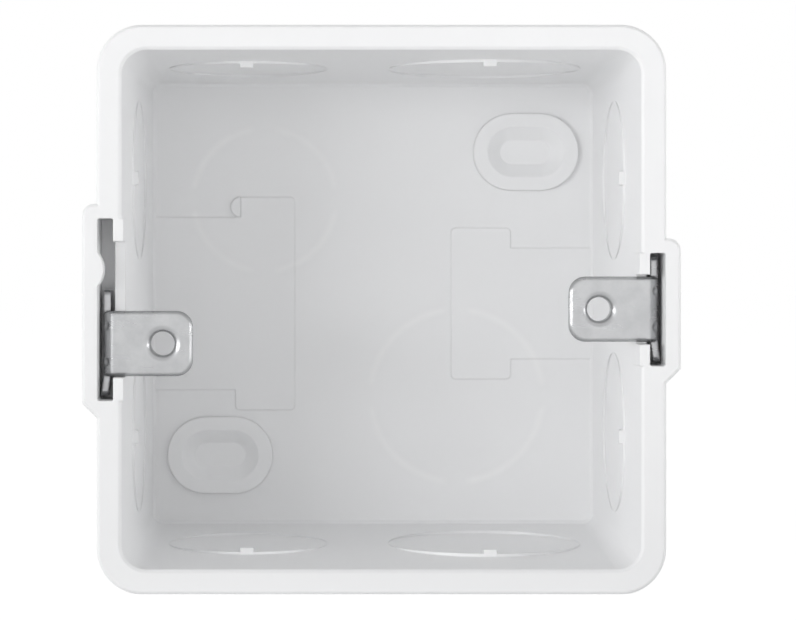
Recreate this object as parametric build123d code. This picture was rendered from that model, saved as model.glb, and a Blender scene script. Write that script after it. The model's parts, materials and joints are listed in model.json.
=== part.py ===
from build123d import *
from math import cos, radians, sin, tan
import os

# Flush mounting box for a square wiring accessory: one plastic moulding and two folded steel lugs.
# The pieces are drawn lying on their back, as the moulding leaves its tool: X right, Y up the wall,
# Z towards the viewer and 0 at the rim's front face. At the end they are stood up as the box sits in
# a wall: opening towards -Y, depth along +Y, Z up, origin at the middle of the opening.

# Driving dimensions, in millimetres and degrees

# Box
rim_side = 78.0
rim_corner = 6.2
rim_band = 3.4
rim_edge = 0.35
opening_corner = 3.4
opening_edge = 0.4
box_depth = 50.0
wall = 2.2
floor_thickness = 2.2
collar_depth = 8.0
draft = 2.0
floor_edge = 0.5
back_edge = 1.2

# Ears and the slots in them
ear_reach = 2.0
ear_wall = 2.1
ear_top_wall = 2.0
ear_bottom_wall = 2.4
ear_top_round = 1.7
ear_bottom_slope = 2.0
ear_foot = 2.0
pocket_floor = 1.8
post_thickness = 1.45
post_proud = 0.3
post_depth = 10.0
slot_corner = 0.3
bump_proud = 0.85
bump_length = 4.7
bump_height = 5.5
bump_depth = 3.0

# Lugs
sheet = 1.0
bend_inside = 0.5
lug_setback = 2.9
hole_inset = 5.45
tapped_radius = 1.65
burr_wall = 0.7
burr_depth = 1.3
lead_in = 0.8
lead_in_flats = 3
arm_width = 9.0
arm_past_hole = 4.2
arm_corner = 2.3
arm_edge = 0.4
dart_radius = 1.0
dart_depth = 0.25
dart_place = 2.5
bar_length = 14.7
bar_corner = 0.8
bar_depth = 3.5

# Travel of the adjustable lug and the clearances around both lugs
travel = 9.5
slide_clearance = 0.1
stop_clearance = 0.1
bar_end_clearance = 0.4
arm_side_clearance = 0.3
strip_clearance = 0.55

# Knockouts, each a thinned disc of the wall or floor
knockout_depth = 26.0
small_disc = 23.2
large_disc = 28.0
side_knockout_offset = 18.4
small_knockout_offset = 18.75
large_knockout_offset = 15.7
tab_width = 1.9
tab_length = 4.0
tab_height = 0.6
knockout_recess = 0.8
recess_inside_disc = 0.5
floor_small_disc = 21.9
floor_large_disc = 26.5
floor_small_place = (-16.6, 15.9)
floor_large_place = (12.7, -14.2)

# Screw bosses and the raised pads on the floor
boss_place = (23.55, 23.35)
boss_length = 16.2
boss_width = 11.8
boss_height = 0.8
recess_length = 11.8
recess_width = 7.7
recess_depth = 1.4
recess_slope = 55.0
pad_height = 0.12
pad_head_from = 12.05
pad_head_width = 9.15
pad_head_past_stem = 3.1
pad_stem_past_slot = 0.8
pad_corner = 0.7
nib_place = (-20.4, 14.9)
nib_radius = 1.55
nib_height = 0.5

# Worked out from the above
opening = rim_side - 2 * rim_band
wall_side = opening + 2 * wall
wall_corner = opening_corner + wall
collar_step = (rim_side - wall_side) / 2
floor_z = floor_thickness - box_depth
draft_slope = tan(radians(draft))

post_face = opening / 2 - post_proud
slot_in = post_face + post_thickness
ear_face = rim_side / 2 + ear_reach
slot_out = ear_face - ear_wall
notch_depth = lug_setback + sheet + slide_clearance

hole_spacing = opening - 2 * hole_inset
strip_out = slot_out - strip_clearance
strip_in = strip_out - sheet
bar_top = lug_setback + sheet + bend_inside
bar_bottom = bar_top + bar_depth
slot_depth = bar_bottom + slide_clearance
ear_depth = slot_depth + pocket_floor
wing_lean = strip_clearance - slide_clearance


def slot_length(lug_travel):
    return bar_length + lug_travel + 2 * bar_end_clearance


def notch_length(lug_travel):
    if lug_travel:
        return arm_width + lug_travel + 2 * stop_clearance
    return arm_width + 2 * arm_side_clearance


def block(x_from, x_to, length, z_from, z_to):
    """A box between two X planes and two depths, centred on the box's middle height."""
    middle = Pos((x_from + x_to) / 2, 0, -(z_from + z_to) / 2)
    return middle * Box(x_to - x_from, length, z_to - z_from)


def drafted(side, corner, length):
    """A square block from the rim plane down, narrowing with the mould's draft."""
    section = RectangleRounded(side, side, corner)
    return extrude(section, amount=length, dir=(0, 0, -1), taper=draft)


def on_side(shape, side):
    """The shape on the right, or its mirror image on the left."""
    return shape if side > 0 else mirror(shape, about=Plane.YZ)


def ear(lug_travel):
    """The thickening outside the right wall that holds a lug's slot, with a sloping foot."""
    top = slot_length(lug_travel) / 2 + ear_top_wall
    bottom = slot_length(lug_travel) / 2 + ear_bottom_wall
    root = opening / 2 + wall / 2
    foot = ear_depth + ear_foot
    corners = [
        (root, top),
        (ear_face, top),
        (ear_face, ear_bottom_slope - bottom),
        (rim_side / 2, -bottom),
        (root, -bottom),
    ]
    outline = make_face(Polyline(*corners, close=True))
    top_corner = outline.vertices().group_by(Axis.Y)[-1].sort_by(Axis.X)[-1]
    outline = fillet(top_corner, ear_top_round)
    side_corners = [(root, 0), (ear_face, 0), (ear_face, -ear_depth), (root, -foot)]
    side_view = Plane.XZ * make_face(Polyline(*side_corners, close=True))
    return extrude(outline, amount=-foot) & extrude(side_view, amount=bottom, both=True)


def outside():
    """The box as a solid: the drafted walls, the thicker collar round the opening and the two ears."""
    walls = drafted(wall_side, wall_corner, box_depth)
    walls = chamfer(walls.faces().sort_by(Axis.Z)[0].edges(), back_edge)
    rim = RectangleRounded(rim_side, rim_side, rim_corner)
    collar = extrude(rim, amount=-collar_depth)
    lead = extrude(Pos(0, 0, -collar_depth) * rim, amount=collar_step, dir=(0, 0, -1), taper=45)
    solid = walls + collar + lead + ear(0) + on_side(ear(travel), -1)
    return chamfer(solid.faces().sort_by(Axis.Z)[-1].edges(), rim_edge)


def hollow(solid):
    """Cuts the inside, with the eased edges of its floor and of the opening."""
    cavity = drafted(opening, opening_corner, -floor_z)
    cavity = chamfer(cavity.faces().sort_by(Axis.Z)[0].edges(), floor_edge)
    box = solid - cavity
    front = box.faces().sort_by(Axis.Z)[-1]
    return chamfer(front.inner_wires()[0].edges(), opening_edge)


def posts(lug_travel):
    """The two short posts of the right wall that close the slot towards the inside."""
    return block(post_face, slot_in, slot_length(lug_travel), 0, post_depth)


def slot_cuts(lug_travel):
    """The slot that the lug's bar stands in and the notch that its arm passes through."""
    slot = block(slot_in, slot_out, slot_length(lug_travel), 0, slot_depth)
    slot = fillet(slot.edges().filter_by(Axis.Z), slot_corner)
    notch_in = post_face - post_proud
    return slot + block(notch_in, slot_in + slot_corner, notch_length(lug_travel), 0, notch_depth)


def bump():
    """The rounded nub at the long slot's mouth; the lug's bar slides behind it."""
    radius = bump_length**2 / (8 * bump_proud) + bump_proud / 2
    nub = Pos(slot_out - bump_proud + radius, bump_height) * Circle(radius)
    kept = block(slot_in, slot_out + ear_wall / 2, rim_side, 0, bump_depth)
    return extrude(nub, amount=-bump_depth) & kept


def wall_knockout(turn, along, disc):
    """One knockout of the right wall, turned to its wall: what is cut inside, added and cut outside.

    Its face is parallel to the pull of the core while the wall is drafted, so it stands proud towards
    the opening and is sunk towards the floor. A wedge on its outer edge is the tab to pry it out by.
    """
    face_x = opening / 2 - knockout_depth * draft_slope
    middle = (face_x, along, -knockout_depth)
    face = Plane(origin=middle, z_dir=(1, 0, 0)) * Circle(disc / 2)
    backing = face_x + wall / 2
    tab_from = disc / 2 - knockout_depth
    tab_to = tab_from - tab_length
    corners = [(backing, tab_from), (face_x - tab_height, tab_from), (face_x, tab_to), (backing, tab_to)]
    wedge = Plane.XZ.offset(-along) * make_face(Polyline(*corners, close=True))
    tab = extrude(wedge, amount=tab_width / 2, both=True)
    square_to_wall = Plane(origin=middle, z_dir=(cos(radians(draft)), 0, -sin(radians(draft))))
    recess_floor = square_to_wall.offset(wall - knockout_recess) * Circle(disc / 2 - recess_inside_disc)
    sunk = extrude(face, amount=-wall / 2)
    raised = extrude(face, amount=wall / 2) + tab
    recess = extrude(recess_floor, amount=2 * knockout_recess)
    turned = Rot(0, 0, turn)
    return turned * sunk, turned * raised, turned * recess


def wall_knockouts(body):
    """Forms the eight knockouts in the walls, two to each."""
    places = []
    for turn in (0, 180):
        for along in (side_knockout_offset, -side_knockout_offset):
            places.append((turn, along, small_disc))
    for turn, sign in ((90, 1), (270, -1)):
        places.append((turn, sign * small_knockout_offset, small_disc))
        places.append((turn, -sign * large_knockout_offset, large_disc))
    sunk, raised, recesses = zip(*[wall_knockout(*place) for place in places])
    body -= list(sunk)
    body += list(raised)
    return body - list(recesses)


def floor_knockouts():
    """Cutters for the two knockouts of the floor, which are round recesses in its back."""
    cutters = []
    for place, disc in ((floor_small_place, floor_small_disc), (floor_large_place, floor_large_disc)):
        cutters.append(extrude(Pos(*place, -box_depth) * Circle(disc / 2), amount=knockout_recess))
    return cutters


def pad(lug_travel):
    """The T-shaped pad on the floor below the right ear, a trace of the mould's moving core."""
    stem = slot_length(lug_travel) + 2 * pad_stem_past_slot
    head = stem + 2 * pad_head_past_stem
    head_to = pad_head_from + pad_head_width
    wall_x = opening / 2 + floor_z * draft_slope
    shape = Pos(pad_head_from + pad_head_width / 2, 0) * RectangleRounded(pad_head_width, head, pad_corner)
    stem_from = head_to - pad_corner
    shape += Pos((stem_from + wall_x) / 2, 0) * Rectangle(wall_x - stem_from, stem)
    return extrude(Pos(0, 0, floor_z) * shape, amount=pad_height)


def nib():
    """The half-round nib at a corner of the left pad."""
    half = Circle(nib_radius) & Pos(-nib_radius, 0) * Rectangle(2 * nib_radius, 2 * nib_radius)
    return extrude(Pos(*nib_place, floor_z) * half, amount=nib_height)


def bosses():
    """Two raised obround bosses on the floor, each with a sloping obround recess."""
    raised = []
    recesses = []
    for sign in (1, -1):
        place = (sign * boss_place[0], sign * boss_place[1])
        foot = Pos(*place, floor_z) * SlotOverall(boss_length, boss_width)
        raised.append(extrude(foot, amount=boss_height))
        mouth = Pos(*place, floor_z + boss_height) * SlotOverall(recess_length, recess_width)
        recesses.append(extrude(mouth, amount=recess_depth, dir=(0, 0, -1), taper=recess_slope))
    return raised, recesses


def box_body():
    body = hollow(outside())
    raised, recesses = bosses()
    for side, lug_travel in ((1, 0), (-1, travel)):
        body += on_side(posts(lug_travel), side)
        body += on_side(pad(lug_travel), side)
        body -= on_side(slot_cuts(lug_travel), side)
    body += on_side(bump(), -1)
    body += nib()
    body += raised
    body -= recesses
    body -= floor_knockouts()
    return wall_knockouts(body)


def folded_strip():
    """The lug's arm and the strip below its fold, with eased edges and two stiffening darts in the fold."""
    tip = hole_spacing / 2 - arm_past_hole
    arm_back = lug_setback + sheet
    corners = [
        (tip, -lug_setback),
        (strip_out, -lug_setback),
        (strip_out, -bar_bottom),
        (strip_in, -bar_bottom),
        (strip_in, -arm_back),
        (tip, -arm_back),
    ]
    profile = make_face(Polyline(*corners, close=True))
    bend_outside = bend_inside + sheet
    profile = fillet(profile.vertices().sort_by_distance((strip_out, -lug_setback))[0], bend_outside)
    profile = fillet(profile.vertices().sort_by_distance((strip_in, -arm_back))[0], bend_inside)
    strip = extrude(Plane.XZ * profile, amount=arm_width / 2, both=True)
    strip = fillet(strip.edges().filter_by(Axis.Z).group_by(Axis.X)[0], arm_corner)
    front = strip.faces().sort_by(Axis.Z)[-1]
    strip = chamfer(front.edges().sort_by(Axis.X)[:-1], arm_edge)
    dart_out = (bend_outside + dart_radius - dart_depth) * sin(radians(45))
    dart_x = strip_out - bend_outside + dart_out
    dart_z = -lug_setback - bend_outside + dart_out
    return strip - [Pos(dart_x, sign * dart_place, dart_z) * Sphere(dart_radius) for sign in (1, -1)]


def bar():
    """The bar across the foot of the strip, whose lower wing leans out and wedges the lug in its slot."""
    bend_at = -arm_width / 2
    wing_end = -bar_length / 2
    corners = [
        (strip_in, -wing_end),
        (strip_out, -wing_end),
        (strip_out, bend_at),
        (strip_out + wing_lean, wing_end),
        (strip_in + wing_lean, wing_end),
        (strip_in, bend_at),
    ]
    outline = Pos(0, 0, -bar_bottom) * make_face(Polyline(*corners, close=True))
    shape = extrude(outline, amount=bar_depth)
    return fillet(shape.edges().filter_by(Axis.X), bar_corner)


def threaded_hole():
    """Cutter for the hole at its thread's inner diameter, its mouth rounded off in a few flats."""
    back = -lug_setback - sheet - burr_depth
    corners = [(0, back), (tapped_radius, back)]
    for flat in range(lead_in_flats + 1):
        angle = radians(90 * flat / lead_in_flats)
        radius = tapped_radius + lead_in * (1 - cos(angle))
        corners.append((radius, lead_in * (sin(angle) - 1) - lug_setback))
    corners.append((0, -lug_setback))
    section = Plane.XZ * make_face(Polyline(*corners, close=True))
    return Pos(hole_spacing / 2, 0) * revolve(section, Axis.Z)


def lug():
    """A folded lug in the right ear: an arm with an extruded, tapped hole, and a bar in the slot."""
    hole_back = Pos(hole_spacing / 2, 0, -lug_setback - sheet - burr_depth)
    burr = extrude(hole_back * Circle(tapped_radius + burr_wall), amount=burr_depth)
    return folded_strip() + bar() + burr - threaded_hole()


stand_up = Rot(90, 0, 0)
pieces = {
    "box_body": box_body(),
    "fixed_lug": lug(),
    "adjustable_lug": Pos(0, -travel / 2, 0) * on_side(lug(), -1),
}
os.makedirs("parts", exist_ok=True)
for name, piece in pieces.items():
    export_step(stand_up * piece, f"parts/{name}.step")
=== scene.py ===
import json
import math

import bpy
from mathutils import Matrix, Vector


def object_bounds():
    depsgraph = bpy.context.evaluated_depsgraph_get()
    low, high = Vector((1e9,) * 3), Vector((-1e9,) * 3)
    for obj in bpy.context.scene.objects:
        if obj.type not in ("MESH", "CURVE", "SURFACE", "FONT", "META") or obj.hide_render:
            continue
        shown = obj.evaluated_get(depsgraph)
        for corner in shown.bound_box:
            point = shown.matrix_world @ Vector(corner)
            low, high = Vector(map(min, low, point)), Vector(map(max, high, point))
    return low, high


# Looks for the flush mounting box: white PVC moulding, zinc-plated steel lugs, floor, light, camera.
# Everything is in metres in the part's own frame: opening towards -Y, depth along +Y, Z up.

CAMERA_PLACE = (-0.01036, -0.3753, 0.00739)
CAMERA_LENS = 124.03
CAMERA_SHIFT = (0.1158, -0.0683)
CAMERA_CLIP = 0.01

WHITE = (1, 1, 1, 1)
WORLD_LIGHT = 0.45
BOX_MIDDLE = (0.0, 0.02, 0.0)
BOUNCE_SPOT = (0.15, -0.30, -0.039)
BOUNCE_SPREAD = math.radians(80)
# Name, place, what it is aimed at, width and height, power in watts.
LAMPS = [
    ("key", (-0.55, -0.60, 0.05), BOX_MIDDLE, (0.4, 0.15), 1.5),
    ("left", (-0.75, -0.30, 0.05), BOX_MIDDLE, (0.4, 0.15), 1.5),
    ("right", (0.75, -0.30, 0.05), BOX_MIDDLE, (0.4, 0.15), 1.5),
    ("front", (0.0, -1.20, 0.12), BOX_MIDDLE, (1.6, 0.3), 0.9),
    ("bounce", (0.15, -0.30, 0.16), BOUNCE_SPOT, (0.3, 0.3), 0.48),
]

PVC_TONES = [(0.30, (0.930, 0.933, 0.940, 1)), (0.70, (0.945, 0.948, 0.954, 1))]
PVC_ROUGHNESS = (0.36, 0.44)
PVC_IOR = 1.5
PVC_EDGE = 0.0003

# The box's two floor knockouts, whose thin edge lets light through, shown as a painted brighter
# ring: middle (X, Z) and radius.
THIN_RINGS = [((-0.0167, 0.0160), 0.01095), ((0.0129, -0.0142), 0.01325)]
# Painted light: this brighter tone stands in for light shining through the thin webs of the floor
# knockouts.
RING_PAINTED_GLOW = (0.985, 0.986, 0.988, 1)
RING_HALF_WIDTH = 0.0008
RING_GAP = 0.0024
INSIDE_FLOOR = 0.0477
INSIDE_FLOOR_REACH = 0.0004

ZINC_TONES = [(0.30, (0.381, 0.385, 0.393, 1)), (0.70, (0.442, 0.447, 0.453, 1))]
ZINC_ROUGHNESS = (0.26, 0.31)
ZINC_EDGE = 0.0004

# The studio floor. The camera sees its lit tone plus a glow: white in the light, grey in the shadow.
FLOOR_FRONT = -2.0
FLOOR_BACK = 3.0
FLOOR_SIDE = 2.0
FLOOR_MATTE = (0.86, 0.86, 0.86, 1)
FLOOR_SHADE = (0.42, 0.42, 0.42, 1)
FLOOR_GLOW = 0.81


def add(tree, kind, inputs=None, **settings):
    """A new node with its settings; an input given as a socket is linked, any other is a value."""
    node = tree.nodes.new(kind)
    for key, value in settings.items():
        setattr(node, key, value)
    for key, value in (inputs or {}).items():
        if isinstance(value, bpy.types.NodeSocket):
            tree.links.new(value, node.inputs[key])
        else:
            node.inputs[key].default_value = value
    return node


def ramp(tree, factor, stops):
    """A colour ramp through (position, colour) stops."""
    node = add(tree, "ShaderNodeValToRGB", {"Fac": factor})
    elements = node.color_ramp.elements
    while len(elements) < len(stops):
        elements.new(0.5)
    for element, (position, colour) in zip(elements, stops):
        element.position = position
        element.color = colour
    return node.outputs["Color"]


def spread(tree, factor, low, high, from_low=0.0, from_high=1.0):
    """The factor mapped from one range of numbers to another."""
    ranges = {"From Min": from_low, "From Max": from_high, "To Min": low, "To Max": high}
    return add(tree, "ShaderNodeMapRange", {"Value": factor, **ranges}).outputs["Result"]


def noise(tree, place, scale, detail=3.0, roughness=0.55, stretch=None, turn=(0.0, 0.0, 0.0)):
    """Noise at a place in the part's frame, which may be stretched and turned first."""
    if stretch is not None:
        change = {"Vector": place, "Scale": stretch, "Rotation": turn}
        place = add(tree, "ShaderNodeMapping", change).outputs["Vector"]
    inputs = {"Vector": place, "Scale": scale, "Detail": detail, "Roughness": roughness}
    return add(tree, "ShaderNodeTexNoise", inputs).outputs["Fac"]


def bump(tree, height, strength, distance, normal, invert=False):
    """The normal with a fine relief on it."""
    inputs = {"Height": height, "Strength": strength, "Distance": distance, "Normal": normal}
    return add(tree, "ShaderNodeBump", inputs, invert=invert).outputs["Normal"]


def soft_edge(tree, radius):
    """The normal with its edges eased by a radius."""
    return add(tree, "ShaderNodeBevel", {"Radius": radius}, samples=6).outputs["Normal"]


def maths(tree, operation, *values):
    """The result of a sum or comparison of sockets and numbers."""
    inputs = dict(enumerate(values))
    return add(tree, "ShaderNodeMath", inputs, operation=operation).outputs["Value"]


def new_material(name):
    """A material with its tree, its shader and the place in the part's frame."""
    material = bpy.data.materials.new(name)
    material.use_nodes = True
    tree = material.node_tree
    place = add(tree, "ShaderNodeTexCoord").outputs["Object"]
    return material, tree, tree.nodes["Principled BSDF"], place


def thin_ring(tree, place, middle, radius):
    """Where the painted glow of a thin web goes: 1 along a circle on the inside of the floor, apart
    from the four bridges of its disc.
    """
    axes = add(tree, "ShaderNodeSeparateXYZ", {"Vector": place}).outputs
    across = maths(tree, "ABSOLUTE", maths(tree, "SUBTRACT", axes["X"], middle[0]))
    up = maths(tree, "ABSOLUTE", maths(tree, "SUBTRACT", axes["Z"], middle[1]))
    across_square = maths(tree, "MULTIPLY", across, across)
    up_square = maths(tree, "MULTIPLY", up, up)
    reach = maths(tree, "SQRT", maths(tree, "ADD", across_square, up_square))
    off_circle = maths(tree, "ABSOLUTE", maths(tree, "SUBTRACT", reach, radius))
    line = spread(tree, off_circle, 1.0, 0.0, 0.0, RING_HALF_WIDTH)
    nearest = maths(tree, "MINIMUM", across, up)
    off_bridge = spread(tree, nearest, 0.0, 1.0, RING_GAP / 2, RING_GAP)
    on_floor = maths(tree, "COMPARE", axes["Y"], INSIDE_FLOOR, INSIDE_FLOOR_REACH)
    return maths(tree, "MULTIPLY", maths(tree, "MULTIPLY", line, off_bridge), on_floor)


def white_pvc():
    """Satin white PVC: faint flow mottling, a fine grain, hairline scuffs, eased edges, and a
    painted glow of light through the floor knockouts' thin rings.
    """
    material, tree, shader, place = new_material("white_pvc")
    mottle = noise(tree, place, 38.0, detail=4.0)
    colour = ramp(tree, mottle, PVC_TONES)
    # Painted light: the rings are made lighter where light would shine through the thin webs of the
    # floor knockouts.
    small, large = [thin_ring(tree, place, middle, radius) for middle, radius in THIN_RINGS]
    painted_glow = {"Factor": maths(tree, "MAXIMUM", small, large), "A": colour, "B": RING_PAINTED_GLOW}
    lit = add(tree, "ShaderNodeMix", painted_glow, data_type="RGBA")
    tree.links.new(lit.outputs["Result"], shader.inputs["Base Color"])

    flow = noise(tree, place, 26.0, detail=2.0, stretch=(1.0, 0.25, 1.0))
    tree.links.new(spread(tree, flow, *PVC_ROUGHNESS, 0.3, 0.7), shader.inputs["Roughness"])
    shader.inputs["IOR"].default_value = PVC_IOR

    grain = noise(tree, place, 2600.0, detail=2.0)
    scuff = noise(tree, place, 90.0, detail=1.0, stretch=(0.6, 9.0, 7.0), turn=(0.3, 0.5, 0.9))
    scuff_lines = spread(tree, scuff, 0.0, 1.0, 0.70, 0.74)
    fine = bump(tree, grain, 0.12, 0.00002, soft_edge(tree, PVC_EDGE))
    worn = bump(tree, scuff_lines, 0.10, 0.00003, fine, invert=True)
    tree.links.new(worn, shader.inputs["Normal"])
    return material


def zinc_steel():
    """Bright zinc-plated sheet: cool grey, cloudy plating, fine rolling lines, softened edges."""
    material, tree, shader, place = new_material("zinc_plated_steel")
    cloud = noise(tree, place, 420.0, detail=4.0, roughness=0.6)
    tree.links.new(ramp(tree, cloud, ZINC_TONES), shader.inputs["Base Color"])
    shader.inputs["Metallic"].default_value = 1.0

    rolling = noise(tree, place, 700.0, detail=2.0, stretch=(0.15, 1.0, 1.6))
    tree.links.new(spread(tree, rolling, *ZINC_ROUGHNESS, 0.3, 0.7), shader.inputs["Roughness"])
    lines = bump(tree, rolling, 0.05, 0.00002, soft_edge(tree, ZINC_EDGE))
    tree.links.new(lines, shader.inputs["Normal"])
    return material


def background_rays(tree):
    """1 for the rays that see the background as it is: camera, glossy and transmission rays."""
    path = add(tree, "ShaderNodeLightPath").outputs
    mirrored = maths(tree, "MAXIMUM", path["Is Camera Ray"], path["Is Glossy Ray"])
    return maths(tree, "MAXIMUM", mirrored, path["Is Transmission Ray"])


def show(tree, lights, seen, output):
    """One shader for the light on the object, another for what is seen of the background."""
    mix = add(tree, "ShaderNodeMixShader", {0: background_rays(tree), 1: lights, 2: seen})
    tree.links.new(mix.outputs["Shader"], tree.nodes[output].inputs["Surface"])


def white_world():
    """White to look at, and an even soft light on the object."""
    world = bpy.data.worlds.new("studio")
    bpy.context.scene.world = world
    world.use_nodes = True
    tree = world.node_tree
    light = tree.nodes["Background"]
    light.inputs["Color"].default_value = WHITE
    light.inputs["Strength"].default_value = WORLD_LIGHT
    seen = add(tree, "ShaderNodeBackground", {"Color": WHITE, "Strength": 1.0})
    show(tree, light.outputs["Background"], seen.outputs["Background"], "World Output")


def pale_floor(height):
    """A large pale floor under the box, white to look at and with the box's shadow on it."""
    mesh = bpy.data.meshes.new("floor")
    front = [(-FLOOR_SIDE, FLOOR_FRONT, height), (FLOOR_SIDE, FLOOR_FRONT, height)]
    back = [(FLOOR_SIDE, FLOOR_BACK, height), (-FLOOR_SIDE, FLOOR_BACK, height)]
    mesh.from_pydata(front + back, [], [(0, 1, 2, 3)])
    floor = bpy.data.objects.new("floor", mesh)
    bpy.context.scene.collection.objects.link(floor)

    material = bpy.data.materials.new("floor")
    material.use_nodes = True
    tree = material.node_tree
    tree.nodes.remove(tree.nodes["Principled BSDF"])
    matte = add(tree, "ShaderNodeBsdfDiffuse", {"Color": FLOOR_MATTE}).outputs["BSDF"]
    shade = add(tree, "ShaderNodeBsdfDiffuse", {"Color": FLOOR_SHADE}).outputs["BSDF"]
    glow = add(tree, "ShaderNodeEmission", {"Color": WHITE, "Strength": FLOOR_GLOW})
    paper = add(tree, "ShaderNodeAddShader", {0: shade, 1: glow.outputs["Emission"]})
    show(tree, matte, paper.outputs["Shader"], "Material Output")
    mesh.materials.append(material)


def aim(thing, target):
    """Turns a lamp towards a place."""
    way = Vector(target) - thing.location
    thing.rotation_euler = way.to_track_quat("-Z", "Y").to_euler()


def soft_lamps():
    """Softboxes around the front, and one that lights the floor before the box to fill it."""
    for name, place, target, size, power in LAMPS:
        lamp = bpy.data.lights.new(name, "AREA")
        lamp.shape = "RECTANGLE"
        lamp.size, lamp.size_y = size
        lamp.energy = power
        if name == "bounce":
            lamp.spread = BOUNCE_SPREAD
        softbox = bpy.data.objects.new(name, lamp)
        softbox.location = place
        aim(softbox, target)
        bpy.context.scene.collection.objects.link(softbox)


def front_camera():
    """Square to the rim; the shift puts the box where the frame has it."""
    lens = bpy.data.cameras.new("camera")
    lens.lens = CAMERA_LENS
    lens.shift_x, lens.shift_y = CAMERA_SHIFT
    lens.clip_start = CAMERA_CLIP
    camera = bpy.data.objects.new("camera", lens)
    camera.location = CAMERA_PLACE
    camera.rotation_euler = (math.pi / 2, 0, 0)
    bpy.context.scene.collection.objects.link(camera)
    bpy.context.scene.camera = camera


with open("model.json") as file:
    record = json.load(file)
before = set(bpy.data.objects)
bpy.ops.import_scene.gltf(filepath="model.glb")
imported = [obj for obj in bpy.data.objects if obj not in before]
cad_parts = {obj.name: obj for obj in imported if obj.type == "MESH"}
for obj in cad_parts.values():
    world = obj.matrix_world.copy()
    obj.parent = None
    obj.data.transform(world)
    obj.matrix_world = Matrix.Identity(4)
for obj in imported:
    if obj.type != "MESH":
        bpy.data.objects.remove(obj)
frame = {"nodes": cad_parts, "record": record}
cad_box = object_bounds()

looks = {"white_pvc": white_pvc(), "zinc_plated_steel": zinc_steel()}
for subpart in frame["record"]["subparts"]:
    node = frame["nodes"][subpart["node"]]
    node.data.materials.clear()
    node.data.materials.append(looks[subpart["material_slot"]])

white_world()
pale_floor(cad_box[0].z)
soft_lamps()
front_camera()
bpy.context.scene.view_settings.view_transform = "Standard"
